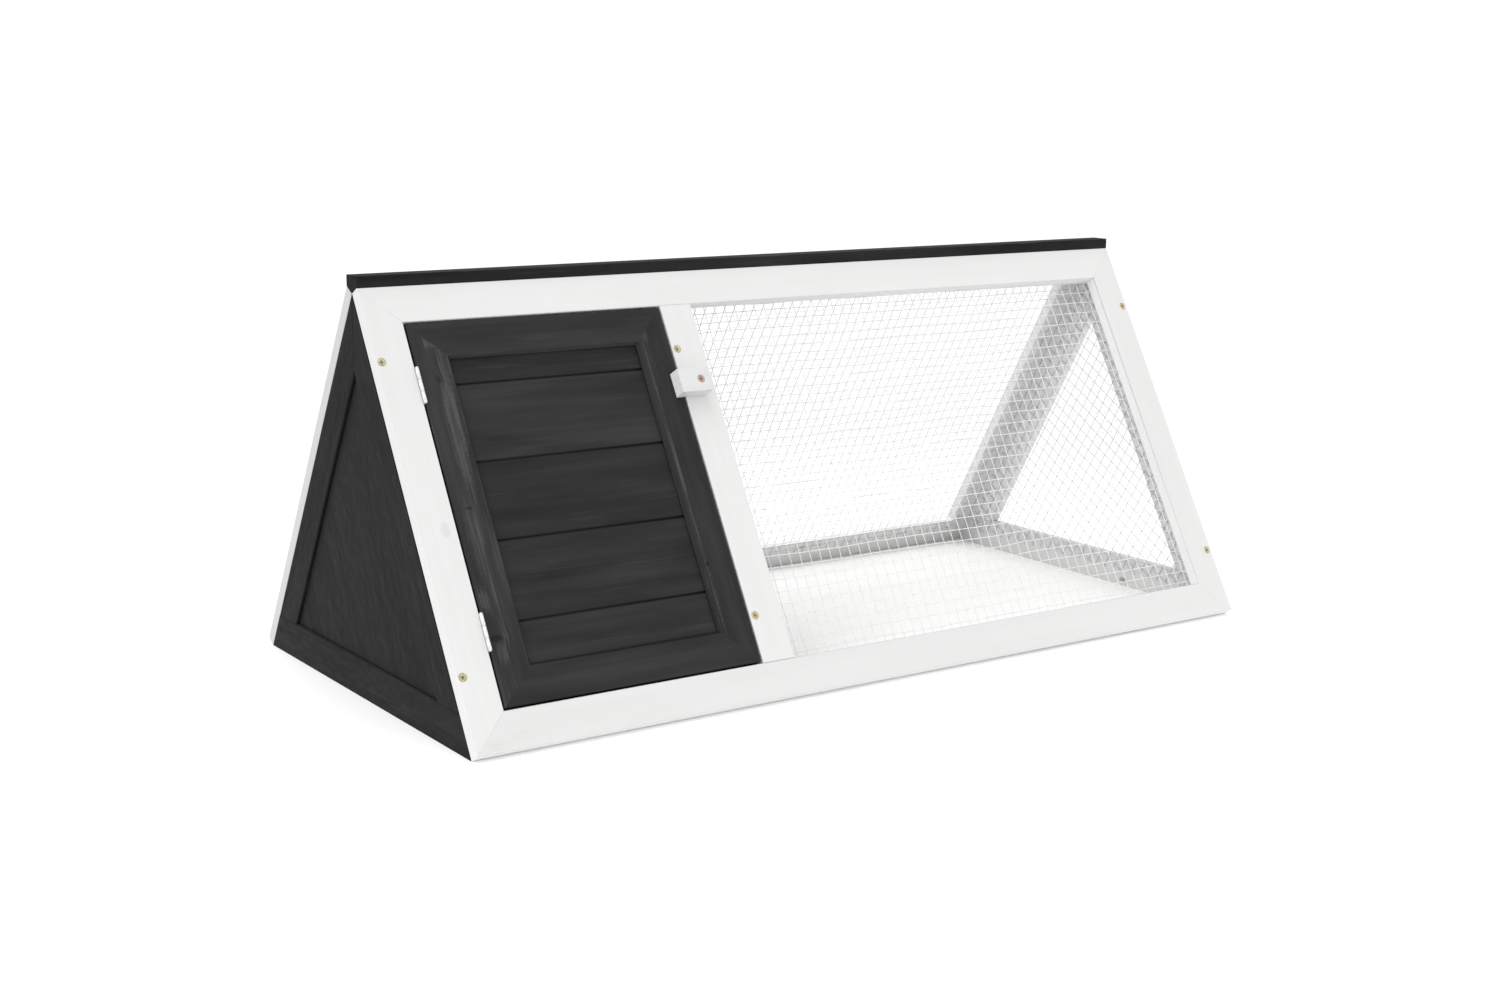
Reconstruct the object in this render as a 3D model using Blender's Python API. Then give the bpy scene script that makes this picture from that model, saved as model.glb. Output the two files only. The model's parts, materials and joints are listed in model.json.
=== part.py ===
"""A-frame rabbit hutch: a boarded sleeping compartment with a hinged door, and a run covered in wire mesh.

Metres, +Z up. X runs along the hutch and the front faces -Y. The origin is the middle of the footprint at
ground level. Each slope has its own frame of reference, an empty at its lower corner: local X runs along the
hutch, local Y up the slope, and local Z points out of it, from the slope's inner face.
"""

import math

import bmesh
import bpy
from mathutils import Matrix, Vector

# Overall shape
LENGTH = 0.980
HALF_SPAN = 0.2325  # from the middle to a slope's inner face, at ground level
SLOPE_ANGLE = math.radians(60)
SLOPE_LENGTH = 0.464
TIMBER = 0.013  # thickness of all frame timber
RAIL = 0.038  # width of all frame timber
GAP = 0.0003  # between pieces that touch
MITRE_GAP = 0.0002  # taken off each mitred end, along the member

# Ridge cap
RIDGE_TOP = 0.4195
RIDGE_HALF_WIDTH = 0.0115
RIDGE_KEEL_Z = 0.4028

# Front slope, measured from the left end
MIDDLE_STILE_X = 0.328
PARTITION_X = 0.3344
PARTITION_T = 0.012

# Ends
END_RECESS = 0.0035  # depth of the left end's panel below its frame
RABBET = 0.006

# Pop hole in the partition
POP_WIDTH = 0.150
POP_SILL = 0.030
POP_TOP = 0.220
ARCH_STEPS = 10

# Floor
FLOOR_T = 0.003

# Wire mesh, each one a thin sheet
MESH_T = 0.0006
MESH_LAP = 0.018  # how far the mesh lies over the timber round its opening
END_MESH_SILL = 0.020
END_MESH_MARGIN = 0.006

# Door
DOOR_GAP = 0.002
DOOR_WIDTH = 0.286
DOOR_RECESS = 0.005
DOOR_CHAMFER = 0.003
BOARD_PITCH = 0.080
FIRST_BOARD_JOINT = 0.120
TONGUE = 0.003
TONGUE_T = 0.0022

# Back wall of the sleeping compartment
BACK_BOARD_T = 0.010
BACK_BOARDS = 5

# Door stop
STOP_SIZE = 0.012
STOP_BOTTOM = 0.140
STOP_LENGTH = 0.180

# Butt hinges
HINGE_X = 0.039
HINGE_HEIGHT = 0.0365
HINGE_CENTRES = {"lower": 0.113, "upper": 0.360}
KNUCKLE_R = 0.0019
KNUCKLE_BORE_R = 0.0010
PIN_R = 0.00085
LEAF_T = 0.0005
LEAF_REACH = 0.0115  # how far a leaf reaches into the gap, below the slope's outer face
HINGE_D = TIMBER + KNUCKLE_R + GAP

# Turn button
BUTTON_X = 0.342
BUTTON_S = 0.3367
BUTTON_REACH = 0.0255  # from the pivot to the end that holds the door
BUTTON_TAIL = 0.0105
BUTTON_WIDTH = 0.026
BUTTON_T = 0.015

# Countersunk wood screws
SCREW_HEAD_R = 0.004
SCREW_SHANK_R = 0.00175
SCREW_HEAD_DEPTH = 0.0026
SCREW_RIM = 0.0003
SCREW_POINT = 0.005
SCREW_SINK = 0.0002
FRAME_SCREW_LENGTH = 0.030
BUTTON_SCREW_LENGTH = 0.025
END_SCREWS_S = (0.075, 0.387)
MIDDLE_SCREWS_S = (0.087, 0.377)
TURNED_STEPS = 12

TAN_SLOPE = math.tan(SLOPE_ANGLE)
UP_SLOPE = Vector((0, math.cos(SLOPE_ANGLE), math.sin(SLOPE_ANGLE)))


def clear_scene():
    for obj in list(bpy.data.objects):
        bpy.data.objects.remove(obj, do_unlink=True)


def make_material(name, color, roughness, metallic=0.0):
    material = bpy.data.materials.new(name)
    material.use_nodes = True
    shader = material.node_tree.nodes["Principled BSDF"]
    shader.inputs["Base Color"].default_value = (*color, 1.0)
    shader.inputs["Roughness"].default_value = roughness
    shader.inputs["Metallic"].default_value = metallic
    return material


def add_empty(name, location, rotation=(0, 0, 0), parent=None):
    empty = bpy.data.objects.new(name, None)
    bpy.context.collection.objects.link(empty)
    empty.location = location
    empty.rotation_euler = rotation
    empty.parent = parent
    return empty


def add_object(name, bm, material, parent=None, location=(0, 0, 0), rotation=(0, 0, 0)):
    """Turn a bmesh into a named object with outward faces."""
    bmesh.ops.recalc_face_normals(bm, faces=bm.faces)
    mesh = bpy.data.meshes.new(name)
    bm.to_mesh(mesh)
    bm.free()
    if material is not None:
        mesh.materials.append(material)
    obj = bpy.data.objects.new(name, mesh)
    bpy.context.collection.objects.link(obj)
    obj.parent = parent
    obj.location = location
    obj.rotation_euler = rotation
    return obj


def prism(outline, low, high):
    """Extrude an outline in the XY plane from z = low to z = high."""
    bm = bmesh.new()
    face = bm.faces.new([bm.verts.new((x, y, low)) for x, y in outline])
    grown = bmesh.ops.extrude_face_region(bm, geom=[face])
    top = [item for item in grown["geom"] if isinstance(item, bmesh.types.BMVert)]
    bmesh.ops.translate(bm, verts=top, vec=(0, 0, high - low))
    return bm


def rectangle(x0, x1, y0, y1):
    return [(x0, y0), (x1, y0), (x1, y1), (x0, y1)]


def turned(profile):
    """Turn a profile of (radius, z) points, which starts and ends on the axis, about Z."""
    bm = bmesh.new()
    verts = [bm.verts.new((radius, 0, z)) for radius, z in profile]
    edges = [bm.edges.new(pair) for pair in zip(verts, verts[1:])]
    bmesh.ops.spin(
        bm, geom=verts + edges, axis=(0, 0, 1), angle=math.tau, steps=TURNED_STEPS, use_merge=True
    )
    bmesh.ops.remove_doubles(bm, verts=bm.verts, dist=1e-6)
    return bm


def tube(outer, inner, low, high):
    """A short tube about Z, with both ends square."""
    bm = bmesh.new()
    corners = [(outer, low), (outer, high), (inner, high), (inner, low)]
    verts = [bm.verts.new((radius, 0, z)) for radius, z in corners]
    edges = [bm.edges.new((verts[i], verts[(i + 1) % 4])) for i in range(4)]
    bmesh.ops.spin(
        bm, geom=verts + edges, axis=(0, 0, 1), angle=math.tau, steps=TURNED_STEPS, use_merge=True
    )
    bmesh.ops.remove_doubles(bm, verts=bm.verts, dist=1e-6)
    return bm


def combine(obj, other, operation):
    """Cut or join another object into this one; the other object is only a guide."""
    other.hide_render = True
    other.display_type = "WIRE"
    modifier = obj.modifiers.new(other.name, "BOOLEAN")
    modifier.operation = operation
    modifier.solver = "EXACT"
    modifier.object = other


def add_member(name, material, parent, origin, along, across, length, profile, cuts):
    """Add a timber member.

    It starts at origin, runs for length in the direction along, and its profile is a list of (distance from
    its outer edge in the direction across, height). Each cut is the slope of an end: how far the end draws
    back for each metre from the outer edge.
    """
    start_cut, end_cut = cuts
    bm = bmesh.new()
    face = bm.faces.new([bm.verts.new((0, y, z)) for y, z in profile])
    grown = bmesh.ops.extrude_face_region(bm, geom=[face])
    far = {item for item in grown["geom"] if isinstance(item, bmesh.types.BMVert)}
    for vert in bm.verts:
        if vert in far:
            vert.co.x = length - end_cut * vert.co.y
        else:
            vert.co.x = start_cut * vert.co.y
    along = Vector(along).normalized()
    across = Vector(across).normalized()
    basis = Matrix((along, across, along.cross(across))).transposed()
    return add_object(name, bm, material, parent, origin, basis.to_euler())


def plain_profile(height_sign=1):
    return [(0, 0), (RAIL, 0), (RAIL, height_sign * TIMBER), (0, height_sign * TIMBER)]


def rabbeted_profile(recess, chamfer):
    """A member with a rabbet for a panel behind its inner edge; height 0 is the panel's side."""
    lip = TIMBER - recess
    points = [(0, 0), (RAIL - RABBET, 0), (RAIL - RABBET, lip), (RAIL, lip)]
    if chamfer:
        points += [(RAIL, TIMBER - chamfer), (RAIL - chamfer, TIMBER)]
    else:
        points += [(RAIL, TIMBER)]
    points += [(0, TIMBER)]
    return points


def screw_profile(length, grow=0.0, top=0.0):
    head = SCREW_HEAD_R + grow
    shank = SCREW_SHANK_R + grow
    return [
        (0, top),
        (head, top),
        (head, -SCREW_RIM - grow),
        (shank, -SCREW_HEAD_DEPTH - grow),
        (shank, SCREW_POINT - length),
        (0, -length - grow),
    ]


def add_screw(name, material, parent, location, length, holds):
    """Add a screw along local Z, and drill and countersink the pieces that it holds."""
    add_object(name, turned(screw_profile(length)), material, parent, location)
    drill = turned(screw_profile(length, grow=GAP, top=2 * GAP))
    cutter = add_object(name + "_drill", drill, None, parent, location)
    for piece in holds:
        combine(piece, cutter, "DIFFERENCE")


def add_mitred_frame(names, material, parent, corner, width, height, profile):
    """Four mitred members round a rectangle; names are for the bottom, right, top and left ones."""
    x0, y0, z0 = corner
    corners = [(x0, y0, z0), (x0 + width, y0, z0), (x0 + width, y0 + height, z0), (x0, y0 + height, z0)]
    pieces = []
    for i, name in enumerate(names):
        start = Vector(corners[i])
        along = (Vector(corners[(i + 1) % 4]) - start).normalized()
        across = Vector((0, 0, 1)).cross(along)
        start += along * MITRE_GAP
        length = (width if i % 2 == 0 else height) - 2 * MITRE_GAP
        pieces.append(add_member(name, material, parent, start, along, across, length, profile, (1, 1)))
    return pieces


def add_slope_frame(side, material, parent, middle_x):
    """A slope's frame: four mitred members and a middle stile from middle_x to middle_x + RAIL."""
    ends = ("right", "left") if side == "front" else ("left", "right")
    names = [f"{side}_bottom_rail", f"{side}_{ends[0]}_stile", f"{side}_top_rail", f"{side}_{ends[1]}_stile"]
    pieces = add_mitred_frame(
        names, material, parent, (0, 0, 0), LENGTH, SLOPE_LENGTH, plain_profile()
    )
    outline = rectangle(middle_x, middle_x + RAIL, RAIL + GAP, SLOPE_LENGTH - RAIL - GAP)
    middle = add_object(f"{side}_middle_stile", prism(outline, 0, TIMBER), material, parent)
    return {"first": pieces[3], "last": pieces[1], "middle": middle}


def add_mesh_sheet(name, material, parent, x0, x1):
    """A sheet over a run opening, on the slope's inner face."""
    outline = rectangle(x0 - MESH_LAP, x1 + MESH_LAP, RAIL - MESH_LAP, SLOPE_LENGTH - RAIL + MESH_LAP)
    add_object(name, prism(outline, -MESH_T - GAP, -GAP), material, parent)


def half_span_at(z, inset=0.0):
    """Half the width between the slopes at height z, less an inset measured square to the slopes."""
    return HALF_SPAN - z / TAN_SLOPE - inset / math.sin(SLOPE_ANGLE)


def triangle(sill, inset):
    """The triangle between the slopes above a sill, drawn in by an inset, in the YZ plane."""
    half = half_span_at(sill, inset)
    return [(-half, sill), (half, sill), (0, sill + half * TAN_SLOPE)]


def add_end_frame(side, material, parent, rabbeted):
    """An end's frame: a bottom rail and two legs that stand on it and meet at the top.

    Its parent's local X points into the hutch, from the end's outer face.
    """
    def profile(sign):
        if rabbeted:
            points = rabbeted_profile(END_RECESS, 0.0)
            return [(y, sign * (TIMBER - z)) for y, z in points]
        return plain_profile(sign)

    half = half_span_at(0, GAP)
    start = (0, -half, 0)
    lean = 1 / TAN_SLOPE
    add_member(
        f"{side}_end_bottom_rail", material, parent, start, (0, 1, 0), (0, 0, 1), 2 * half, profile(1),
        (lean, lean),
    )
    legs = []
    foot = RAIL + GAP
    half = half_span_at(foot, GAP)
    length = (half - GAP) / math.cos(SLOPE_ANGLE)
    for sign in (-1, 1):
        near = (sign < 0) == (side == "left")
        name = f"{side}_end_{'front' if near else 'back'}_leg"
        along = (0, -sign * UP_SLOPE.y, UP_SLOPE.z)
        across = (0, -sign * UP_SLOPE.z, -UP_SLOPE.y)
        leg = add_member(
            name, material, parent, (0, sign * half, foot), along, across, length, profile(sign),
            (lean, TAN_SLOPE),
        )
        legs.append(leg)
    return legs


def add_in_yz(name, outline, low, high, material, parent=None):
    """Add a plate whose outline lies in the YZ plane and whose thickness runs along X."""
    bm = prism(outline, low, high)
    turn = Matrix(((0, 0, 1), (1, 0, 0), (0, 1, 0))).to_4x4()
    bmesh.ops.transform(bm, matrix=turn, verts=bm.verts)
    return add_object(name, bm, material, parent)


def add_ridge_cap(material):
    """The cap's V underside lies on the square tops of both slopes, with the V's point planed off."""
    top_y = HALF_SPAN - SLOPE_LENGTH * UP_SLOPE.y
    top_z = SLOPE_LENGTH * UP_SLOPE.z
    lift = GAP / math.cos(math.pi / 2 - SLOPE_ANGLE)
    rise = 1 / TAN_SLOPE

    def seat_z(y):
        return top_z + lift + (y - top_y) * rise

    keel_y = top_y + (RIDGE_KEEL_Z - top_z - lift) / rise
    half = RIDGE_HALF_WIDTH
    right = [(keel_y, RIDGE_KEEL_Z), (half, seat_z(half)), (half, RIDGE_TOP)]
    left = [(-y, z) for y, z in reversed(right)]
    add_in_yz("ridge_cap", right + left, -LENGTH / 2, LENGTH / 2, material)


def add_partition(material):
    """The wall between the sleeping compartment and the run, with an arched pop hole."""
    x0 = PARTITION_X - PARTITION_T / 2 - LENGTH / 2
    outline = triangle(FLOOR_T + GAP, GAP)
    partition = add_in_yz("partition", outline, x0, x0 + PARTITION_T, material)
    radius = POP_WIDTH / 2
    spring = POP_TOP - radius
    arch = [(-radius, POP_SILL), (radius, POP_SILL)]
    for i in range(ARCH_STEPS + 1):
        angle = math.pi * i / ARCH_STEPS
        arch.append((radius * math.cos(angle), spring + radius * math.sin(angle)))
    cutter = add_in_yz("pop_hole_cutter", arch, x0 - GAP, x0 + PARTITION_T + GAP, None)
    combine(partition, cutter, "DIFFERENCE")
    return partition


def board_outline(s0, s1, height, tongue, groove):
    """A board's end, with a tongue on its upper edge and a groove in its lower edge, in (s, height)."""
    middle = height / 2
    half = TONGUE_T / 2
    slot = half + GAP
    points = [(s0, 0)]
    points += [(s1, 0)]
    if tongue:
        points += [(s1, middle - half), (s1 + TONGUE, middle - half)]
        points += [(s1 + TONGUE, middle + half), (s1, middle + half)]
    points += [(s1, height), (s0, height)]
    if groove:
        points += [(s0, middle + slot), (s0 + TONGUE + GAP, middle + slot)]
        points += [(s0 + TONGUE + GAP, middle - slot), (s0, middle - slot)]
    return points


def add_boards(prefix, material, parent, x0, x1, joints, height):
    """Tongue-and-groove boards between successive joints, each running from x0 to x1."""
    last = len(joints) - 2
    for i, (low, high) in enumerate(zip(joints, joints[1:])):
        s0 = low if i == 0 else low + GAP / 2
        s1 = high if i == last else high - GAP / 2
        profile = board_outline(s0, s1, height, i < last, i > 0)
        add_member(
            f"{prefix}_{i + 1}", material, parent, (x0, 0, 0), (1, 0, 0), (0, 1, 0), x1 - x0, profile, (0, 0)
        )


def add_door(material, parent):
    """The door: a mitred, rabbeted frame and its boards, about the hinge axis."""
    x0 = RAIL + DOOR_GAP - HINGE_X
    s0 = RAIL + DOOR_GAP
    height = SLOPE_LENGTH - 2 * s0
    names = ["door_bottom_rail", "door_right_stile", "door_top_rail", "door_left_stile"]
    corner = (x0, s0, -HINGE_D)
    profile = rabbeted_profile(DOOR_RECESS, DOOR_CHAMFER)
    add_mitred_frame(names, material, parent, corner, DOOR_WIDTH, height, profile)
    inset = RAIL - RABBET + GAP
    low = s0 + inset
    high = s0 + height - inset
    joints = [low]
    joint = FIRST_BOARD_JOINT
    while joint < high:
        joints.append(joint)
        joint += BOARD_PITCH
    joints.append(high)
    back = add_empty("door_back_face", (0, 0, -HINGE_D), parent=parent)
    add_boards(
        "door_board", material, back, x0 + inset, x0 + DOOR_WIDTH - inset, joints,
        TIMBER - DOOR_RECESS - GAP,
    )


def add_hinge(place, centre, material, frame_axis, door_axis):
    """A butt hinge in the gap beside the door: a leaf with two knuckles, one with one, and the pin."""
    low = centre - HINGE_HEIGHT / 2
    third = HINGE_HEIGHT / 3
    stand = (-math.pi / 2, 0, 0)
    wall = (KNUCKLE_R + KNUCKLE_BORE_R) / 2
    top = -wall
    bottom = TIMBER - HINGE_D - LEAF_REACH

    def knuckle(name, start, end, axis):
        ring = tube(KNUCKLE_R, KNUCKLE_BORE_R, start, end)
        return add_object(name, ring, material, axis, (0, low, 0), stand)

    def leaf(name, x0, spans, axis):
        plate = prism(rectangle(x0, x0 + LEAF_T, low, low + HINGE_HEIGHT), bottom, top)
        obj = add_object(name, plate, material, axis)
        for i, (start, end) in enumerate(spans):
            combine(obj, knuckle(f"{name}_knuckle_{i + 1}", start, end, axis), "UNION")
        return obj

    outer_leaf_x = RAIL + GAP - HINGE_X
    inner_leaf_x = RAIL + DOOR_GAP - GAP - LEAF_T - HINGE_X
    outer = leaf(
        f"{place}_hinge_frame_leaf", outer_leaf_x,
        [(0, third - GAP), (2 * third + GAP, HINGE_HEIGHT)], frame_axis,
    )
    inner = leaf(f"{place}_hinge_door_leaf", inner_leaf_x, [(third, 2 * third)], door_axis)
    # each plate is cut away where the other leaf's knuckle turns
    relief_r = KNUCKLE_R + GAP
    for obj, spans in ((outer, [(third, 2 * third)]), (inner, [(0, third), (2 * third, HINGE_HEIGHT)])):
        for i, (start, end) in enumerate(spans):
            bm = turned([(0, start - GAP), (relief_r, start - GAP), (relief_r, end + GAP), (0, end + GAP)])
            name = f"{obj.name}_relief_{i + 1}"
            combine(obj, add_object(name, bm, None, frame_axis, (0, low, 0), stand), "DIFFERENCE")
    pin = turned([(0, 0), (PIN_R, 0), (PIN_R, HINGE_HEIGHT), (0, HINGE_HEIGHT)])
    add_object(f"{place}_hinge_pin", pin, material, frame_axis, (0, low, 0), stand)


def add_turn_button(white, brass, front, middle_stile):
    """A wooden block that turns on one screw and holds the door shut."""
    axis = add_empty("turn_button_axis", (BUTTON_X, BUTTON_S, TIMBER), parent=front)
    half = BUTTON_WIDTH / 2
    outline = rectangle(-BUTTON_REACH, BUTTON_TAIL, -half, half)
    button = add_object("turn_button", prism(outline, GAP, GAP + BUTTON_T), white, axis)
    head = (0, 0, GAP + BUTTON_T - SCREW_SINK)
    add_screw("turn_button_screw", brass, axis, head, BUTTON_SCREW_LENGTH, [button, middle_stile])


def add_frame_screws(side, material, parent, frame, first_leg, last_leg, partition, partition_x):
    """Six screws through a slope's stiles, into the ends' legs and the partition's edge."""
    columns = [
        (TIMBER / 2, END_SCREWS_S, [frame["first"], first_leg]),
        (partition_x, MIDDLE_SCREWS_S, [frame["middle"], partition]),
        (LENGTH - TIMBER / 2, END_SCREWS_S, [frame["last"], last_leg]),
    ]
    count = 0
    for x, places, holds in columns:
        for s in places:
            count += 1
            location = (x, s, TIMBER - SCREW_SINK)
            add_screw(f"{side}_screw_{count}", material, parent, location, FRAME_SCREW_LENGTH, holds)


def build():
    clear_scene()
    white = make_material("white_paint", (0.86, 0.86, 0.85), 0.55)
    black = make_material("black_paint", (0.035, 0.035, 0.036), 0.6)
    floor_white = make_material("floor_white", (0.88, 0.88, 0.86), 0.6)
    wire = make_material("wire_sheet", (0.62, 0.63, 0.64), 0.4, 0.8)
    zinc = make_material("zinc", (0.80, 0.81, 0.82), 0.35, 1.0)
    brass = make_material("brass", (0.75, 0.58, 0.32), 0.35, 1.0)

    front = add_empty("front_slope", (-LENGTH / 2, -HALF_SPAN, 0), (SLOPE_ANGLE, 0, 0))
    back = add_empty("back_slope", (LENGTH / 2, HALF_SPAN, 0), (SLOPE_ANGLE, 0, math.pi))
    left_end = add_empty("left_end", (-LENGTH / 2, 0, 0))
    right_end = add_empty("right_end", (LENGTH / 2, 0, 0), (0, 0, math.pi))

    add_ridge_cap(black)
    front_frame = add_slope_frame("front", white, front, MIDDLE_STILE_X)
    back_middle_x = LENGTH - MIDDLE_STILE_X - RAIL
    back_frame = add_slope_frame("back", white, back, back_middle_x)

    run_x = MIDDLE_STILE_X + RAIL
    add_mesh_sheet("run_front_mesh", wire, front, run_x, LENGTH - RAIL)
    add_mesh_sheet("run_back_mesh", wire, back, RAIL, back_middle_x)

    left_legs = add_end_frame("left", black, left_end, True)
    panel_inset = RAIL - RABBET + 2 * GAP
    panel = triangle(panel_inset, panel_inset)
    add_in_yz("left_end_panel", panel, END_RECESS + GAP, TIMBER, black, left_end)
    right_legs = add_end_frame("right", white, right_end, False)
    end_mesh = triangle(END_MESH_SILL, END_MESH_MARGIN)
    add_in_yz("run_end_mesh", end_mesh, TIMBER + GAP, TIMBER + GAP + MESH_T, wire, right_end)

    partition = add_partition(black)
    inner_end = LENGTH / 2 - TIMBER
    floor_half = half_span_at(FLOOR_T, GAP)
    floor = rectangle(-inner_end + GAP, inner_end - GAP, -floor_half, floor_half)
    add_object("floor_panel", prism(floor, 0, FLOOR_T), floor_white)

    step = (SLOPE_LENGTH - 2 * RAIL - 2 * GAP) / BACK_BOARDS
    joints = [RAIL + GAP + i * step for i in range(BACK_BOARDS + 1)]
    add_boards(
        "back_board", black, back, back_middle_x + RAIL + GAP, LENGTH - RAIL - GAP, joints, BACK_BOARD_T
    )

    stop_x = PARTITION_X - PARTITION_T / 2 - GAP
    stop = rectangle(stop_x - STOP_SIZE, stop_x, STOP_BOTTOM, STOP_BOTTOM + STOP_LENGTH)
    add_object("door_stop", prism(stop, -GAP - STOP_SIZE, -GAP), black, front)

    frame_axis = add_empty("hinge_axis", (HINGE_X, 0, HINGE_D), parent=front)
    door_axis = add_empty("door_axis", (HINGE_X, 0, HINGE_D), parent=front)
    add_door(black, door_axis)
    for place, centre in HINGE_CENTRES.items():
        add_hinge(place, centre, zinc, frame_axis, door_axis)
    add_turn_button(white, brass, front, front_frame["middle"])

    add_frame_screws(
        "front", brass, front, front_frame, left_legs[0], right_legs[1], partition, PARTITION_X
    )
    add_frame_screws(
        "back", brass, back, back_frame, right_legs[0], left_legs[1], partition, LENGTH - PARTITION_X
    )


build()
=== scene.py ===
import json
import math
import random

import bmesh
import bpy
from mathutils import Matrix, Vector, noise

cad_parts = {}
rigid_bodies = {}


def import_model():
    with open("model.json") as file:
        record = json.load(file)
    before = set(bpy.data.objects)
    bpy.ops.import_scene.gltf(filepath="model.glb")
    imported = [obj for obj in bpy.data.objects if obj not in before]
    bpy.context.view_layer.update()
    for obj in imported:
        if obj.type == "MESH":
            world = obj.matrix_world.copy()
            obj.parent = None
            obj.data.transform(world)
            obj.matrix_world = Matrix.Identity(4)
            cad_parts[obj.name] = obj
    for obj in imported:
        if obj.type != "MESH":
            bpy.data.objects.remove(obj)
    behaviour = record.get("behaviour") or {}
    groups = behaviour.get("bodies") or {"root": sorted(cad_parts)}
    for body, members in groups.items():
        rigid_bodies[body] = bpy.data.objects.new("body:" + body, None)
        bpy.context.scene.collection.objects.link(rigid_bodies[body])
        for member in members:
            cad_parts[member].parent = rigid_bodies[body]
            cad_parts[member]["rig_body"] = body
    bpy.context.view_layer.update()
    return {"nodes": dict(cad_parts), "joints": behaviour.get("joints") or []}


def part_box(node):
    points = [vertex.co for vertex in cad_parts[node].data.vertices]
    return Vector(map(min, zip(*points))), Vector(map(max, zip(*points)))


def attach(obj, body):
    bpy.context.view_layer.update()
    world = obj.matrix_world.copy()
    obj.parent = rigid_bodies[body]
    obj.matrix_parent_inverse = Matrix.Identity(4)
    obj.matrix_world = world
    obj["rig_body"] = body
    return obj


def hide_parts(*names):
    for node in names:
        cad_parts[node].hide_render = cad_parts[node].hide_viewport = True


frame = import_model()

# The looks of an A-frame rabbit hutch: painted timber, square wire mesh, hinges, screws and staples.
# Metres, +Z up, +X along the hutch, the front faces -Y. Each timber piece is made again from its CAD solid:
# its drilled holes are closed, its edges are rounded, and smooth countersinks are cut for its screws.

nodes = frame["nodes"]
joints = {joint["name"]: joint for joint in frame["joints"]}
scene = bpy.context.scene

SEED = 433  # of both kinds of chance: without its own, noise changes from run to run
rng = random.Random(SEED)
noise.seed_set(SEED)

# Directions
SLOPE_ANGLE = math.radians(60)
X = Vector((1, 0, 0))
Y = Vector((0, 1, 0))
Z = Vector((0, 0, 1))
FRONT_UP = Vector((0, math.cos(SLOPE_ANGLE), math.sin(SLOPE_ANGLE)))
BACK_UP = Vector((0, -math.cos(SLOPE_ANGLE), math.sin(SLOPE_ANGLE)))
FRONT_OUT = Vector((0, -math.sin(SLOPE_ANGLE), math.cos(SLOPE_ANGLE)))
BACK_OUT = Vector((0, math.sin(SLOPE_ANGLE), math.cos(SLOPE_ANGLE)))

# Timber
LONG_EDGE = 0.0009  # rounding of the edges that run with the grain
END_SHARE = 0.12  # of that rounding, on the other edges
BOARD_EDGE = 0.0015
PAINTED_JOINT = 0.00019  # how far paint carries each end of a stile or rail into its joint
SHEET_EDGE = 0.0006
BUTTON_EDGE = 0.0007
GROUND_EDGE = 0.001  # edges lower than this are at ground level
SHARP = math.radians(20)
HOLE_REACH = 0.0046  # every vertex of a drilled hole is nearer than this to the screw's axis
HOLE_DEPTH = 0.033
HOLE_STAND = 0.002  # slack in finding the pieces and the drilled holes that belong to a screw
POP_RADIUS = 0.075
POP_SILL = 0.030
POP_TOP = 0.220
ARCH_STEPS = 40

# Screws
SCREW_HEAD_R = 0.004
SCREW_SHANK_R = 0.00175
SCREW_HEAD_DEPTH = 0.0026
SINK_R = 0.0044
SCREW_STEPS = 40

# Hinges, round the door's axis
KNUCKLE_R = 0.0019
CURL_T = 0.00055
PIN_R = 0.0013
HINGE_GAP = 0.00008
LEAF_SIDES = {"frame": (-0.0007, -0.0002), "door": (0.0002, 0.0007)}  # each plate's two faces, across the gap
LEAF_REACH = 0.0137  # from the pin's axis to a plate's far edge
LEAF_SCREW_R = 0.0023
LEAF_SCREWS = (0.24, 0.76)  # their places, as shares of a leaf's length

# Wire mesh
PITCH = 0.0127
WIRE_R = 0.0004
LAYER = 0.00045  # between the middles of the two layers of wires
WELD = 0.0014  # from the middle of a weld to its end
WELD_GROW = 1.04
WIRE_SIDES = 6
SHEET_GAP = 0.0003
SHORT_WIRE = 0.012  # shorter ones are left out
RAGGED = 0.003  # how unevenly the wires' ends are cut
SWAY_MARGIN = 0.05  # from the timber to where the mesh bulges freely
BROAD_SWAY = (9, 0.0016, 0.0026)  # how fine per metre, how far aside, how far out
CLOSE_SWAY = (23, 0.0007, 0.0008)

# Staples
STAPLE_CROWN = 0.0102
STAPLE_WIRE = 0.0006
STAPLE_FOOT = 0.001
STAPLE_STAND = 0.00065  # the top of the crown over the wires
STAPLE_ROUND = 0.0003
STAPLE_PITCH = 0.085
STAPLE_CORNER = 0.025  # from a corner of the sheet to the first staple

# Stage floor: it darkens between these distances from the hutch's middle
STAGE_NEAR = 0.7
STAGE_FAR = 1.5


# ---------------------------------------------------------------- mesh tools

def link(name, mesh):
    obj = bpy.data.objects.new(name, mesh)
    scene.collection.objects.link(obj)
    return obj


def from_bmesh(name, bm, materials=()):
    bmesh.ops.recalc_face_normals(bm, faces=bm.faces)
    mesh = bpy.data.meshes.new(name)
    bm.to_mesh(mesh)
    bm.free()
    for material in materials:
        mesh.materials.append(material)
    return link(name, mesh)


def apply_modifiers(obj):
    graph = bpy.context.evaluated_depsgraph_get()
    made = bpy.data.meshes.new_from_object(obj.evaluated_get(graph))
    obj.modifiers.clear()
    obj.data = made
    made.name = obj.name


def combine(obj, others, operation):
    """Cut or join other objects into this one, and remove them."""
    for other in others:
        modifier = obj.modifiers.new("combine", "BOOLEAN")
        modifier.operation = operation
        modifier.solver = "EXACT"
        modifier.object = other
    apply_modifiers(obj)
    for other in others:
        bpy.data.objects.remove(other)


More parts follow.
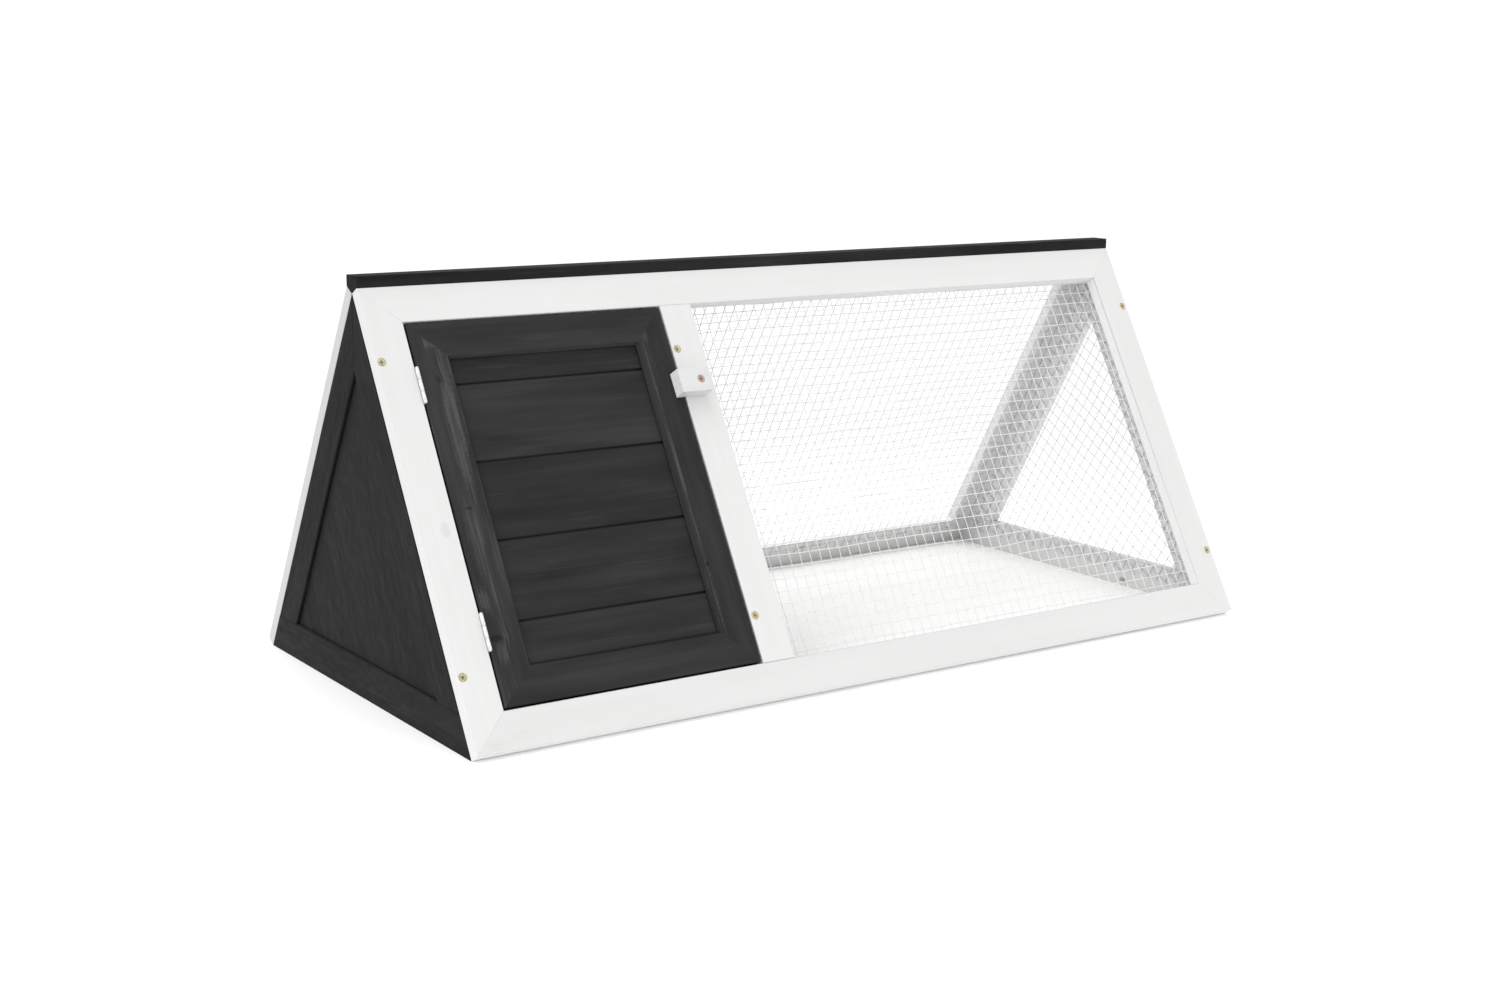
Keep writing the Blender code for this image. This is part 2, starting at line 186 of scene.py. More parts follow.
def add_piece(obj, body, slot, *replaced):
    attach(obj, body)
    if replaced:
        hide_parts(*replaced)


def span(node, direction):
    places = [v.co.dot(direction) for v in nodes[node].data.vertices]
    return min(places), max(places)


def axes_matrix(x, y, z, origin):
    matrix = Matrix((x, y, z)).transposed().to_4x4()
    matrix.translation = origin
    return matrix


def prism(outline, low, high):
    bm = bmesh.new()
    face = bm.faces.new([bm.verts.new((x, y, low)) for x, y in outline])
    grown = bmesh.ops.extrude_face_region(bm, geom=[face])
    top = [item for item in grown["geom"] if isinstance(item, bmesh.types.BMVert)]
    bmesh.ops.translate(bm, verts=top, vec=(0, 0, high - low))
    return bm


def turned(profile, steps=SCREW_STEPS):
    bm = bmesh.new()
    verts = [bm.verts.new((radius, 0, z)) for radius, z in profile]
    edges = [bm.edges.new(pair) for pair in zip(verts, verts[1:])]
    bmesh.ops.spin(
        bm, geom=verts + edges, axis=(0, 0, 1), angle=math.tau, steps=steps, use_merge=True
    )
    bmesh.ops.remove_doubles(bm, verts=bm.verts, dist=1e-6)
    return bm


# ---------------------------------------------------------------- materials

def make_tree(name):
    material = bpy.data.materials.new(name)
    material.use_nodes = True
    tree = material.node_tree
    return material, tree, tree.nodes["Principled BSDF"]


def add_node(tree, kind, inputs=None, **settings):
    node = tree.nodes.new(kind)
    for key, value in settings.items():
        setattr(node, key, value)
    for key, value in (inputs or {}).items():
        if isinstance(value, bpy.types.NodeSocket):
            tree.links.new(value, node.inputs[key])
        else:
            node.inputs[key].default_value = value
    return node


def math_node(tree, operation, a, b=0.0, clamp=False):
    node = add_node(tree, "ShaderNodeMath", {0: a, 1: b}, operation=operation, use_clamp=clamp)
    return node.outputs[0]


def mix_colors(tree, share, a, b):
    node = add_node(tree, "ShaderNodeMix", data_type="RGBA")
    for index, value in ((0, share), (6, a), (7, b)):
        if isinstance(value, bpy.types.NodeSocket):
            tree.links.new(value, node.inputs[index])
        elif index == 0:
            node.inputs[index].default_value = value
        else:
            node.inputs[index].default_value = (*value, 1.0)
    return node.outputs[2]


def map_range(tree, value, low, high, to_low=0.0, to_high=1.0, smooth=False):
    node = add_node(
        tree, "ShaderNodeMapRange", {0: value, 1: low, 2: high, 3: to_low, 4: to_high},
        interpolation_type="SMOOTHSTEP" if smooth else "LINEAR",
    )
    return node.outputs[0]


def stretched_noise(tree, place, stretch, detail=3.0, rough=0.5, distortion=0.0):
    moved = add_node(tree, "ShaderNodeVectorMath", {0: place, 1: stretch}, operation="MULTIPLY")
    node = add_node(
        tree, "ShaderNodeTexNoise",
        {"Vector": moved.outputs[0], "Scale": 1.0, "Detail": detail, "Roughness": rough,
         "Distortion": distortion},
    )
    return node.outputs[0]


def spot_reach(tree, place, along, across, half_length, half_width):
    """How far off a spot is, in half sizes of the spot, with an uneven outline."""
    away = add_node(
        tree, "ShaderNodeVectorMath", {0: place, 1: (along, across, 0)}, operation="SUBTRACT"
    )
    scaled = add_node(
        tree, "ShaderNodeVectorMath",
        {0: away.outputs[0], 1: (1 / half_length, 1 / half_width, 0)}, operation="MULTIPLY",
    )
    far = add_node(tree, "ShaderNodeVectorMath", {0: scaled.outputs[0]}, operation="LENGTH")
    ripple = stretched_noise(tree, place, (260, 260, 0), detail=2.0)
    return math_node(tree, "ADD", far.outputs["Value"], math_node(tree, "MULTIPLY", ripple, 0.7))


def painted_wood(name, base, grain_tone, scuff_tone, knot_tone, *, rough, specular, grain, mottle,
                 scuff, bump, knots_and_shade_lines=(), rubs=(), end=False):
    """Paint or stain over softwood. The grain attribute runs along, across and through each piece.

    grain and mottle are how strongly those patterns colour the paint; scuff is how much of it is rubbed.
    Knots and rubbed places are (along, across, half length, half width, strength), in the grain
    attribute's metres. Painted shade lines along edges go in with the knots, drawn as long dark knots.
    """
    material, tree, shader = make_tree(name)
    place = add_node(tree, "ShaderNodeAttribute", attribute_name="grain").outputs["Vector"]
    tone = add_node(tree, "ShaderNodeAttribute", attribute_name="tone").outputs["Fac"]

    # knots bend the grain round them, and so do the painted shade lines drawn as knots
    bend = None
    dark = None
    for along, across, half_length, half_width, strength in knots_and_shade_lines:
        reach = spot_reach(tree, place, along, across, half_length, half_width)
        core = map_range(tree, reach, 0.85, 1.45, strength, 0.0, smooth=True)
        halo = map_range(tree, reach, 0.9, 2.8, 1.0, 0.0, smooth=True)
        dark = core if dark is None else math_node(tree, "MAXIMUM", dark, core)
        bend = halo if bend is None else math_node(tree, "MAXIMUM", bend, halo)
    rubbed = 0.0
    for along, across, half_length, half_width, strength in rubs:
        reach = spot_reach(tree, place, along, across, half_length, half_width)
        here = map_range(tree, reach, 0.7, 1.7, strength, 0.0, smooth=True)
        rubbed = math_node(tree, "MAXIMUM", rubbed, here)
    if bend is not None:
        push = add_node(tree, "ShaderNodeCombineXYZ", {1: math_node(tree, "MULTIPLY", bend, 0.0018)})
        place = add_node(tree, "ShaderNodeVectorMath", {0: place, 1: push.outputs[0]}, operation="ADD")
        place = place.outputs[0]

    if end:
        lines = stretched_noise(tree, place, (300, 420, 420))
        rings = stretched_noise(tree, place, (40, 260, 160), detail=2.0)
    else:
        lines = stretched_noise(tree, place, (9, 560, 560), detail=4.0, rough=0.6)
        rings = stretched_noise(tree, place, (3.2, 120, 110), detail=2.0, rough=0.45, distortion=0.25)
    ring_share = map_range(tree, rings, 0.40, 0.62, smooth=True)
    line_share = map_range(tree, lines, 0.35, 0.7)
    pattern = math_node(
        tree, "ADD", math_node(tree, "MULTIPLY", ring_share, 0.65),
        math_node(tree, "MULTIPLY", line_share, 0.35),
    )
    color = mix_colors(tree, math_node(tree, "MULTIPLY", pattern, grain), base, grain_tone)

    cloud = stretched_noise(tree, place, (6, 42, 42))
    shade = map_range(tree, cloud, 0.3, 0.7, 1.0 - mottle, 1.0 + mottle)
    shade = math_node(tree, "MULTIPLY", shade, tone)
    shaded = add_node(tree, "ShaderNodeVectorMath", {0: color, 3: shade}, operation="SCALE")
    color = shaded.outputs[0]

    rub = stretched_noise(tree, place, (13, 380, 380), detail=5.0, rough=0.6)
    where = stretched_noise(tree, place, (11, 60, 60), detail=2.0)
    rub_edge = math_node(tree, "ADD", rub, math_node(tree, "MULTIPLY", where, 0.8))
    rub_edge = math_node(tree, "ADD", rub_edge, math_node(tree, "MULTIPLY", rubbed, 0.30))
    rub_share = map_range(tree, rub_edge, 1.08 - 0.20 * scuff, 1.40 - 0.20 * scuff)
    rub_limit = math_node(tree, "MULTIPLY", rubbed, 0.5)
    rub_limit = math_node(tree, "ADD", rub_limit, min(1.0, scuff), clamp=True)
    color = mix_colors(tree, math_node(tree, "MULTIPLY", rub_share, rub_limit), color, scuff_tone)
    # knots darken the paint here, and painted shade lines along edges darken it the same way
    if dark is not None:
        color = mix_colors(tree, dark, color, knot_tone)
    tree.links.new(color, shader.inputs["Base Color"])

    dapple = stretched_noise(tree, place, (60, 190, 190))
    roughness = map_range(tree, dapple, 0.3, 0.7, rough - 0.09, rough + 0.09)
    tree.links.new(roughness, shader.inputs["Roughness"])
    shader.inputs["Specular IOR Level"].default_value = specular

    height = math_node(
        tree, "ADD", math_node(tree, "MULTIPLY", ring_share, 0.5), math_node(tree, "MULTIPLY", lines, 1.1)
    )
    height = math_node(tree, "ADD", height, math_node(tree, "MULTIPLY", dapple, 0.5))
    bumped = add_node(
        tree, "ShaderNodeBump", {"Strength": bump, "Distance": 0.00035, "Height": height}
    )
    tree.links.new(bumped.outputs[0], shader.inputs["Normal"])
    return material


WHITE = dict(
    base=(0.702, 0.702, 0.698), grain_tone=(0.662, 0.660, 0.650), scuff_tone=(0.62, 0.59, 0.54),
    knot_tone=(0.56, 0.57, 0.60), rough=0.52, specular=0.30, grain=0.28, mottle=0.014, scuff=0.08,
    bump=0.22,
)
BLACK = dict(
    base=(0.0255, 0.0255, 0.0258), grain_tone=(0.0350, 0.0350, 0.0355), scuff_tone=(0.085, 0.084, 0.084),
    knot_tone=(0.010, 0.010, 0.010), rough=0.66, specular=0.05, grain=0.50, mottle=0.24, scuff=0.28,
    bump=0.30,
)
FLOOR = dict(
    base=(0.93, 0.93, 0.922), grain_tone=(0.90, 0.896, 0.88), scuff_tone=(0.84, 0.82, 0.78),
    knot_tone=(0.66, 0.63, 0.58), rough=0.58, specular=0.3, grain=0.35, mottle=0.015, scuff=0.12,
    bump=0.22,
)


def paint_set(name, paint, knots_and_shade_lines=(), rubs=(), **changes):
    """A piece's three finishes: its faces, its rounded edges and its end grain."""
    values = dict(paint, **changes)
    edge = dict(values, scuff=values["scuff"] + 0.35, grain=values["grain"] * 0.8)
    ends = dict(values, mottle=values["mottle"] * 1.5)
    return [
        painted_wood(name, knots_and_shade_lines=knots_and_shade_lines, rubs=rubs, **values),
        painted_wood(name + "_edge", knots_and_shade_lines=knots_and_shade_lines, rubs=rubs, **edge),
        painted_wood(name + "_end", end=True, **ends),
    ]


def painted_shade_line(node, along, across, half_width):
    """Painted shade: a dark line, drawn as a long knot, along the edge of a piece on its across side, where
    the gap or recess beside it is in shade.
    """
    low, high = span(node, along)
    edge = span(node, across)[1]
    return ((low + high) / 2, edge - half_width / 2, (high - low) * 0.7, half_width, 0.9)


def metal(name, low, high, rough, *, scale, metallic=1.0, tint=None):
    """Plated metal, mottled between two colours, with a third in patches where tint is given."""
    material, tree, shader = make_tree(name)
    place = add_node(tree, "ShaderNodeTexCoord").outputs["Object"]
    spots = stretched_noise(tree, place, (scale,) * 3)
    color = mix_colors(tree, map_range(tree, spots, 0.35, 0.65), low, high)
    if tint is not None:
        patches = stretched_noise(tree, place, (scale * 0.45,) * 3, detail=1.0)
        color = mix_colors(tree, map_range(tree, patches, 0.5, 0.72, 0.0, 0.8, smooth=True), color, tint)
    tree.links.new(color, shader.inputs["Base Color"])
    fine = stretched_noise(tree, place, (scale * 2.2,) * 3, detail=2.0)
    roughness = map_range(tree, fine, 0.3, 0.7, rough - 0.08, rough + 0.1)
    tree.links.new(roughness, shader.inputs["Roughness"])
    shader.inputs["Metallic"].default_value = metallic
    bumped = add_node(tree, "ShaderNodeBump", {"Strength": 0.1, "Distance": 0.0001, "Height": spots})
    tree.links.new(bumped.outputs[0], shader.inputs["Normal"])
    return material


# One galvanised wire, painted at three levels for light and shade: the front mesh lighter as lit, the back
# and end meshes darker as painted shade on the sides seen from inside.
galvanised_lit_and_shaded = {}
for name, level in (("front", 0.82), ("back", 0.74), ("end", 0.56)):
    low, high = [(level + step, level + step + 0.004, level + step + 0.008) for step in (-0.035, 0.035)]
    galvanised_lit_and_shaded[name] = metal(f"galvanised_{name}", low, high, 0.50, scale=420, metallic=0.3)
bright_zinc = metal("bright_zinc", (0.79, 0.795, 0.80), (0.87, 0.872, 0.875), 0.36, scale=500, metallic=0.5)
staple_steel = metal("staple_steel", (0.60, 0.60, 0.61), (0.78, 0.78, 0.78), 0.36, scale=500)
yellow_zinc = metal(
    "yellow_zinc", (0.52, 0.46, 0.26), (0.76, 0.71, 0.44), 0.36, scale=380, tint=(0.56, 0.50, 0.38)
)
copper_zinc = metal(
    "copper_zinc", (0.48, 0.31, 0.27), (0.68, 0.52, 0.46), 0.38, scale=380, tint=(0.42, 0.33, 0.31)
)


# ---------------------------------------------------------------- screws

def screw_axis(node, out):
    """A frame screw's place and direction: the middle of its head's face, and the way it faces."""
    mesh = nodes[node].data
    high = span(node, out)[1]
    middle = sum((v.co for v in mesh.vertices), Vector()) / len(mesh.vertices)
    return middle + out * (high - middle.dot(out)), out


screws = {}
for side, out in (("front", FRONT_OUT), ("back", BACK_OUT)):
    for i in range(1, 7):
        screws[f"{side}_screw_{i}"] = screw_axis(f"{side}_screw_{i}", out)
pivot = Vector(joints["turn_button_pivot"]["pos_m"])
head = span("turn_button_screw", FRONT_OUT)[1]
screws["turn_button_screw"] = (pivot + FRONT_OUT * (head - pivot.dot(FRONT_OUT)), FRONT_OUT)


def facing(origin, out, turn=0.0):
    """A frame of reference whose Z faces out, turned about it."""
    side = X if abs(out.x) < 0.9 else Y
    up = out.cross(side).normalized()
    side = up.cross(out)
    return axes_matrix(side, up, out, origin) @ Matrix.Rotation(turn, 4, "Z")


def cross_cutter(name, reach, width, depth):
    """A tapered cross, the shape that a screwdriver's point leaves in a head."""
    half = width / 2
    plus = [
        (half, half), (half, reach), (-half, reach), (-half, half), (-reach, half), (-reach, -half),
        (-half, -half), (-half, -reach), (half, -reach), (half, -half), (reach, -half), (reach, half),
    ]
    bm = prism(plus, -depth, 0.0002)
    for vert in bm.verts:
        if vert.co.z < 0:
            vert.co.x *= 0.36
            vert.co.y *= 0.36
    return from_bmesh(name, bm)


def screw_mesh(name, head_r, shank_r, head_depth, length):
    profile = [
        (0, -0.00004), (head_r * 0.72, 0), (head_r - 0.00025, 0), (head_r, -0.00022), (head_r, -0.0004),
        (shank_r, -head_depth), (shank_r, 0.004 - length), (0, -length),
    ]
    obj = from_bmesh(name, turned(profile))
    recess = cross_cutter(name + "_recess", head_r * 0.60, head_r * 0.27, head_depth * 0.8)
    combine(obj, [recess], "DIFFERENCE")
    for face in obj.data.polygons:
        face.use_smooth = abs(face.normal.z) < 0.9 and face.area < 4e-7
    mesh = obj.data
    bpy.data.objects.remove(obj)
    return mesh


frame_screw = screw_mesh("frame_screw", SCREW_HEAD_R, SCREW_SHANK_R, SCREW_HEAD_DEPTH, 0.029)
leaf_screw = screw_mesh("leaf_screw", LEAF_SCREW_R - 0.0001, 0.0011, 0.0014, 0.010)


def sink_cutter(name, origin, out):
    profile = [
        (0, 0.003), (SINK_R, 0.003), (SINK_R, -0.0002), (0.0019, -0.0028), (0.0019, -0.021), (0, -0.021),
    ]
    bm = turned(profile)
    bmesh.ops.transform(bm, matrix=facing(origin, out), verts=bm.verts)
    return from_bmesh(name, bm)


for node, (origin, out) in screws.items():
    is_button = node == "turn_button_screw"
    mesh = frame_screw.copy()
    mesh.materials.append(copper_zinc if is_button else yellow_zinc)
    mesh.transform(facing(origin, out, rng.uniform(0, math.tau)))
    add_piece(link("plated_" + node, mesh), nodes[node]["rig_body"], "brass", node)


# ---------------------------------------------------------------- timber

def closed_solid(node):
    """The CAD solid of a piece without its drilled holes, with whole faces in place of triangles."""
    bm = bmesh.new()
    bm.from_mesh(nodes[node].data)
    bmesh.ops.remove_doubles(bm, verts=bm.verts, dist=2e-6)
    drilled = []
    for vert in bm.verts:
        for origin, out in screws.values():
            away = vert.co - origin
            depth = -away.dot(out)
            if -HOLE_STAND < depth < HOLE_DEPTH and (away + out * depth).length < HOLE_REACH:
                drilled.append(vert)
                break
    if drilled:
        bmesh.ops.delete(bm, geom=drilled, context="VERTS")
        open_edges = [edge for edge in bm.edges if edge.is_boundary]
        bmesh.ops.holes_fill(bm, edges=open_edges, sides=0)
    bmesh.ops.recalc_face_normals(bm, faces=bm.faces)
    bmesh.ops.dissolve_limit(bm, angle_limit=math.radians(0.5), verts=bm.verts, edges=bm.edges)
    bmesh.ops.recalc_face_normals(bm, faces=bm.faces)
    return bm


def partition_solid():
    """The wall between the sleeping end and the run: a triangle, with a smooth arch cut through it."""
    low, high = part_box("partition")
    to_world = axes_matrix(Y, Z, X, Vector())
    wall = from_bmesh("wall", prism([(low[1], low[2]), (high[1], low[2]), (0, high[2])], low[0], high[0]))
    spring = POP_TOP - POP_RADIUS
    arch = [(-POP_RADIUS, POP_SILL), (POP_RADIUS, POP_SILL)]
    for i in range(ARCH_STEPS + 1):
        angle = math.pi * i / ARCH_STEPS
        arch.append((POP_RADIUS * math.cos(angle), spring + POP_RADIUS * math.sin(angle)))
    hole = from_bmesh("pop_hole", prism(arch, low[0] - 0.001, high[0] + 0.001))
    combine(wall, [hole], "DIFFERENCE")
    bm = bmesh.new()
    bm.from_mesh(wall.data)
    bmesh.ops.transform(bm, matrix=to_world, verts=bm.verts)
    bpy.data.objects.remove(wall)
    return bm


def weigh_edges(bm, along, out, faces_only):
    """Give each outer edge its share of rounding: all of it along the grain, less elsewhere and on the floor.

    With faces_only, just the edges of the two broad faces get any.
    """
    weights = bm.edges.layers.float.new("bevel_weight_edge")
    heights = [vert.co.dot(out) for vert in bm.verts]
    low, high = min(heights), max(heights)
    for edge in bm.edges:
        if len(edge.link_faces) != 2 or not edge.is_convex or edge.calc_face_angle() < SHARP:
            continue
        at = [vert.co.dot(out) for vert in edge.verts]
        on_face = max(at) < low + 1e-5 or min(at) > high - 1e-5
        if faces_only and not on_face:
            continue
        direction = (edge.verts[1].co - edge.verts[0].co).normalized()
        on_ground = max(vert.co.z for vert in edge.verts) < GROUND_EDGE
        edge[weights] = 1.0 if abs(direction.dot(along)) > 0.95 and not on_ground else END_SHARE


def is_jointed(node):
    """Whether a piece's ends meet other painted timber: the stiles, and the slopes' and the door's rails."""
    return "stile" in node or (node.endswith("_rail") and "_end_" not in node)


def add_timber(node, along, out, paints, slot, rounding=LONG_EDGE, faces_only=False, tone=None,
               spotted=False, sides=None):
    """A timber piece, with its rounded edges, its countersinks and its grain.

    A finish with spots at known places needs spotted, which keeps the grain attribute in true places. sides
    is a finish for the faces that run along the piece, square to its broad faces.
    """
    bm = partition_solid() if node == "partition" else closed_solid(node)
    weigh_edges(bm, along, out, faces_only)
    if is_jointed(node):
        low, high = span(node, along)
        middle = (low + high) / 2
        for vert in bm.verts:
            off = vert.co.dot(along) - middle
            vert.co += along * (off * PAINTED_JOINT * 2 / (high - low))
    obj = from_bmesh("timber_" + node, bm, paints + [sides] if sides else paints)
    bevel = obj.modifiers.new("rounded", "BEVEL")
    bevel.width = rounding
    bevel.segments = 3
    bevel.limit_method = "WEIGHT"
    bevel.material = 1
    cutters = []
    low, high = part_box(node)
    for name, (origin, facing_out) in screws.items():
        inside = all(low[i] - HOLE_STAND < origin[i] < high[i] + HOLE_STAND for i in range(3))
        if inside and abs(span(node, facing_out)[1] - origin.dot(facing_out)) < 0.001:
            cutters.append(sink_cutter(name + "_sink", origin, facing_out))
    combine(obj, cutters, "DIFFERENCE")

    mesh = obj.data
    across = out.cross(along)
    shift = Vector((rng.uniform(2, 30), rng.uniform(2, 30), rng.uniform(2, 30)))
    if spotted:
        shift.x = shift.y = 0.0
    tone = tone or rng.uniform(0.96, 1.04)
    places = []
    for vert in mesh.vertices:
        places += [
            vert.co.dot(along) + shift.x, vert.co.dot(across) + shift.y, vert.co.dot(out) + shift.z
        ]
    mesh.attributes.new("grain", "FLOAT_VECTOR", "POINT").data.foreach_set("vector", places)
    tones = [tone] * len(mesh.vertices)
    mesh.attributes.new("tone", "FLOAT", "POINT").data.foreach_set("value", tones)
    for face in mesh.polygons:
        if face.material_index == 1:
            face.use_smooth = True
        elif abs(face.normal.dot(along)) > 0.8:
            face.material_index = 2
        elif sides is not None and abs(face.normal.dot(across)) > 0.95:
            face.material_index = 3
    add_piece(obj, nodes[node]["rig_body"], slot, node)


white = paint_set("white_paint", WHITE)
black = paint_set("black_stain", BLACK)
floor_paint = paint_set("floor_paint", FLOOR)
white_corner = paint_set(
    "white_corner", WHITE,
    knots_and_shade_lines=[(0.0992, 0.4633, 0.009, 0.006, 0.45), (-0.1147, 0.4828, 0.005, 0.006, 0.7)],
)
white_warm = paint_set(
    "white_warm", WHITE, knots_and_shade_lines=[(-0.0426, -0.4780, 0.010, 0.005, 0.30)], knot_tone=(0.70, 0.62, 0.54)
)
white_knotted = paint_set(
    "white_knotted", WHITE, knots_and_shade_lines=[(-0.079, 0.010, 0.007, 0.004, 0.9)], knot_tone=(0.30, 0.28, 0.26)
)
black_panel = paint_set(
    "black_panel", BLACK, grain=0.20, mottle=0.18, bump=0.08, scuff=0.06,
    knots_and_shade_lines=[(0.1825, 0.1752, 0.004, 0.003, 0.7)],
)
black_rail = paint_set("black_rail", BLACK, knots_and_shade_lines=[(-0.0153, 0.0366, 0.008, 0.0016, 0.7)])
black_worn = paint_set(
    "black_worn", BLACK, scuff=0.72, scuff_tone=(0.078, 0.077, 0.077),
    knots_and_shade_lines=[
        (0.1176, 0.4342, 0.0022, 0.0040, 0.55), (-0.0104, 0.4420, 0.0040, 0.0090, 0.60),
        (0.2489, 0.4305, 0.0050, 0.0036, 0.40),
    ],
    rubs=[
        (0.2000, 0.4260, 0.070, 0.0090, 0.70), (0.2286, 0.4275, 0.017, 0.0028, 0.9),
        (0.1803, 0.4231, 0.013, 0.0030, 0.9), (0.0888, 0.4370, 0.040, 0.0090, 0.70),
        (0.0275, 0.4430, 0.014, 0.0050, 0.7), (-0.0250, 0.4384, 0.014, 0.0056, 0.8),
        (0.0100, 0.4290, 0.050, 0.0060, 0.65), (0.2860, 0.4300, 0.005, 0.0080, 0.8),
    ],
)
white_smudged = paint_set(
    "white_smudged", WHITE, rubs=[(-0.468, -0.112, 0.016, 0.008, 1.0), (-0.440, -0.104, 0.014, 0.006, 0.7)]
)
# Painted shade: dark lines along the door's bottom rail, where its chamfer meets the boards, and along the
# left end's front leg, where it meets the white front stile.
black_painted_shade = paint_set("black_painted_shade", BLACK, knots_and_shade_lines=[painted_shade_line("door_bottom_rail", X, FRONT_UP, 0.0020)])
black_leg_painted_shade = paint_set(
    "black_leg_painted_shade", BLACK, knots_and_shade_lines=[painted_shade_line("left_end_front_leg", FRONT_UP, FRONT_OUT, 0.0016)]
)
black_spotted = paint_set(
    "black_spotted", BLACK, knots_and_shade_lines=[(0.0301, 0.1936, 0.0035, 0.0020, 0.8)],
    rubs=[(0.1100, 0.1948, 0.160, 0.0026, 1.0), (0.2800, 0.1900, 0.010, 0.0060, 0.6)],
)
# Painted shade: a darker black on the boards' rounded edges, in their joints, and on all the narrow sides of
# the door's stiles and rails round the recessed boards.
black_groove_shade = painted_wood("black_groove_shade", **dict(BLACK, base=(0.013, 0.013, 0.013), grain=0.3, scuff=0.1))
# Painted light: a lighter black on the top and bottom faces of the left end's bottom rail, its ledge, so that
# it reads as lit.
black_ledge_lit = painted_wood("black_ledge_lit", **dict(BLACK, base=(0.052, 0.052, 0.052), grain=0.3, scuff=0.1))
# Painted light: a lighter white on the narrow sides of the front right stile, whose inner side faces away
# from the lamps.
white_reveal_lit = painted_wood("white_reveal_lit", **dict(WHITE, base=(0.79, 0.79, 0.785)))
# Painted light: a lighter white on the top faces and undersides of the bottom rails, so that the underside
# reads less shaded.
white_under_lit = painted_wood("white_under_lit", **dict(WHITE, base=(0.93, 0.93, 0.925)))
black_board = [black[0], black_groove_shade, black[2]]
white_button = paint_set(
    "white_button", WHITE, knots_and_shade_lines=[(-0.138, 0.225, 0.006, 0.004, 0.35)], knot_tone=(0.70, 0.58, 0.56)
)
# Painted light: a lighter white on the button's end faces, which stand in the shade of the door beside them.
white_button[2] = painted_wood("white_button_end", end=True, **dict(WHITE, base=(0.98, 0.98, 0.975)))

special = {
    "front_left_stile": white_corner, "front_right_stile": white_warm,
    "right_end_bottom_rail": white_knotted, "left_end_panel": black_panel,
    "left_end_bottom_rail": black_rail, "door_left_stile": black_worn, "door_right_stile": black_spotted,
    "turn_button": white_button, "front_bottom_rail": white_smudged, "door_bottom_rail": black_painted_shade,
    "left_end_front_leg": black_leg_painted_shade,
}
# Each piece's tone. The left end's pieces, the back left stile and the right end's bottom rail and front leg
# are darkened as painted shade, for the shade those sides are in; the others differ in tone as the paint
# does.
tones = {
    "front_top_rail": 1.02, "front_left_stile": 1.01, "front_middle_stile": 1.015,
    "front_right_stile": 0.995, "front_bottom_rail": 0.975, "turn_button": 0.955,
    "back_left_stile": 0.80, "right_end_bottom_rail": 0.93, "right_end_front_leg": 0.94,
    "door_top_rail": 1.20, "door_left_stile": 1.22, "door_right_stile": 1.10, "door_bottom_rail": 1.08,
    "door_board_1": 1.10, "door_board_2": 1.02, "door_board_3": 0.90, "door_board_4": 1.16,
    "door_board_5": 0.98, "left_end_panel": 0.74, "left_end_front_leg": 0.67,
    "left_end_back_leg": 0.64, "left_end_bottom_rail": 0.74, "ridge_cap": 0.66,
}


def finish_timber(node, along, out, paints, slot, **settings):
    add_timber(
        node, along, out, special.get(node, paints), slot, tone=tones.get(node), spotted=node in special,
        **settings,
    )


for side, up, out in (("front", FRONT_UP, FRONT_OUT), ("back", BACK_UP, BACK_OUT)):
    finish_timber(f"{side}_top_rail", X, out, white, "white_paint")
    finish_timber(f"{side}_bottom_rail", X, out, white, "white_paint", sides=white_under_lit)
    for stile in ("left_stile", "right_stile", "middle_stile"):
        reveal = white_reveal_lit if (side, stile) == ("front", "right_stile") else None
        finish_timber(f"{side}_{stile}", up, out, white, "white_paint", sides=reveal)

for end, paints, slot in (("left", black, "black_paint"), ("right", white, "white_paint")):
    finish_timber(f"{end}_end_front_leg", FRONT_UP, X, paints, slot)
    finish_timber(f"{end}_end_back_leg", BACK_UP, X, paints, slot)
    ledge = black_ledge_lit if end == "left" else None
    finish_timber(f"{end}_end_bottom_rail", Y, X, paints, slot, sides=ledge)
finish_timber("left_end_panel", FRONT_UP, X, black, "black_paint", rounding=SHEET_EDGE)
finish_timber("partition", Y, X, black, "black_paint", rounding=SHEET_EDGE, faces_only=True)
finish_timber("floor_panel", X, Z, floor_paint, "floor_white", rounding=SHEET_EDGE)
finish_timber("ridge_cap", X, Z, black, "black_paint")
finish_timber("door_stop", FRONT_UP, FRONT_OUT, black, "black_paint")
for i in range(1, 6):
    boards = dict(rounding=BOARD_EDGE, faces_only=True)
    finish_timber(f"back_board_{i}", X, BACK_OUT, black_board, "black_paint", **boards)
    finish_timber(f"door_board_{i}", X, FRONT_OUT, black_board, "black_paint", **boards)
for stile in ("door_left_stile", "door_right_stile"):
    finish_timber(stile, FRONT_UP, FRONT_OUT, black, "black_paint", sides=black_groove_shade)
for rail in ("door_top_rail", "door_bottom_rail"):
    finish_timber(rail, X, FRONT_OUT, black, "black_paint", sides=black_groove_shade)
finish_timber("turn_button", X, FRONT_OUT, white, "white_paint", rounding=BUTTON_EDGE)


# ---------------------------------------------------------------- hinges

def hinge_matrix():
    """X across the gap beside the door, Y up the slope, Z out of it, from the hinge's axis."""
    origin = Vector(joints["door_hinge"]["pos_m"])
    origin -= FRONT_UP * origin.dot(FRONT_UP)
    return axes_matrix(X, FRONT_UP, FRONT_OUT, origin)


